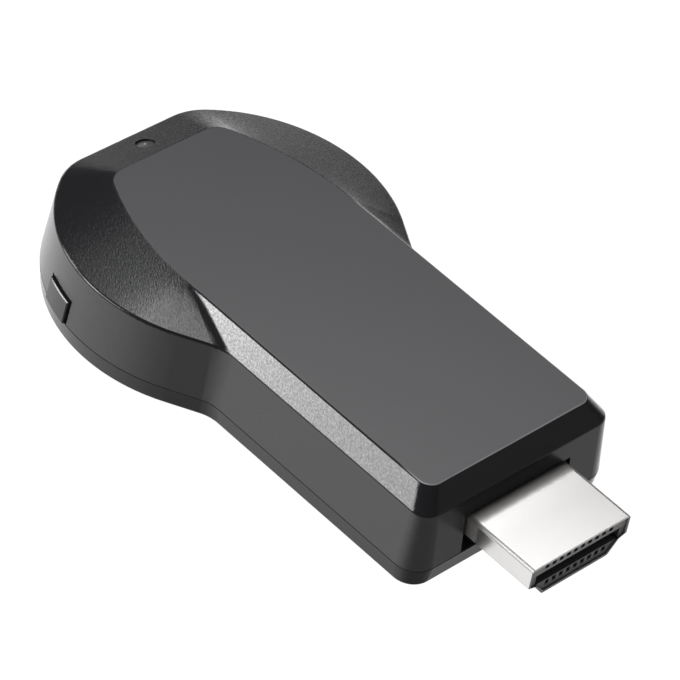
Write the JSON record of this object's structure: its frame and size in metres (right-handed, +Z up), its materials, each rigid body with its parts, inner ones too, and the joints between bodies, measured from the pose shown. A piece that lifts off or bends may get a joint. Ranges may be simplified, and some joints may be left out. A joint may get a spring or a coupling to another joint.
{
  "type": "wireless display dongle",
  "caption": "Pocket display stick: slim neck with a fixed video plug, round head with a sprung side button, a power socket in its flat end and a status light.",
  "frame": {"origin": "middle of the box around the object, on the face that it rests on", "axes": "+X along the plug, pointing out of its tip; +Z up, away from the resting face; the button is on the -Y side"},
  "size_m": [0.0696, 0.0382, 0.0115],
  "materials": {
    "housing_black": "moulded black plastic, fine matte on the flat, light spark texture on the slopes and satin on the side wall",
    "button_black": "satin moulded black plastic",
    "light_clear": "clear moulded plastic",
    "plug_nickel": "nickel plated sheet, satin",
    "insulator_black": "dark glass-filled moulding",
    "contact_gold": "gold plated spring contacts",
    "board_green": "glass-epoxy laminate with green solder mask",
    "package_black": "moulded chip package",
    "shield_tin": "tin plated sheet",
    "pad_grey": "soft thermal pad",
    "spreader_aluminium": "plain rolled plate",
    "ceramic_white": "fired ceramic",
    "ferrite_grey": "moulded ferrite",
    "capacitor_yellow": "moulded tantalum case",
    "ceramic_tan": "fired ceramic with tinned ends",
    "led_white": "moulded light package",
    "socket_steel": "plated steel sheet",
    "switch_plastic": "glass-filled nylon",
    "spring_steel": "stainless spring strip"
  },
  "bodies": {
    "dongle": {"top_shell": "housing_black", "bottom_shell": "housing_black", "light_pipe": "light_clear", "plug_shell": "plug_nickel", "plug_insulator": "insulator_black", "plug_contacts": "contact_gold", "circuit_board": "board_green", "processor": "package_black", "memory_chip": "package_black", "flash_chip": "package_black", "shield_frame": "shield_tin", "shield_cover": "shield_tin", "processor_pad": "pad_grey", "spreader_pad": "pad_grey", "heat_spreader": "spreader_aluminium", "radio_board": "board_green", "radio_shield": "shield_tin", "chip_antenna": "ceramic_white", "crystal": "shield_tin", "power_inductors": "ferrite_grey", "bulk_capacitors": "capacitor_yellow", "ceramic_capacitors": "ceramic_tan", "status_led": "led_white", "usb_socket_shell": "socket_steel", "usb_socket_tongue": "insulator_black", "usb_socket_contacts": "contact_gold", "switch_housing": "switch_plastic", "switch_cover": "socket_steel", "switch_dome": "spring_steel"},
    "button": {"button_cap": "button_black", "switch_plunger": "switch_plastic"}
  },
  "joints": [
    {"name": "button_press", "type": "slide", "parent": "dongle", "child": "button", "axis": [0.2857, 0.9583, 0], "range_m": [0, 0.00025], "stiffness_N_per_m": 1500, "springref_m": -0.0003}
  ]
}
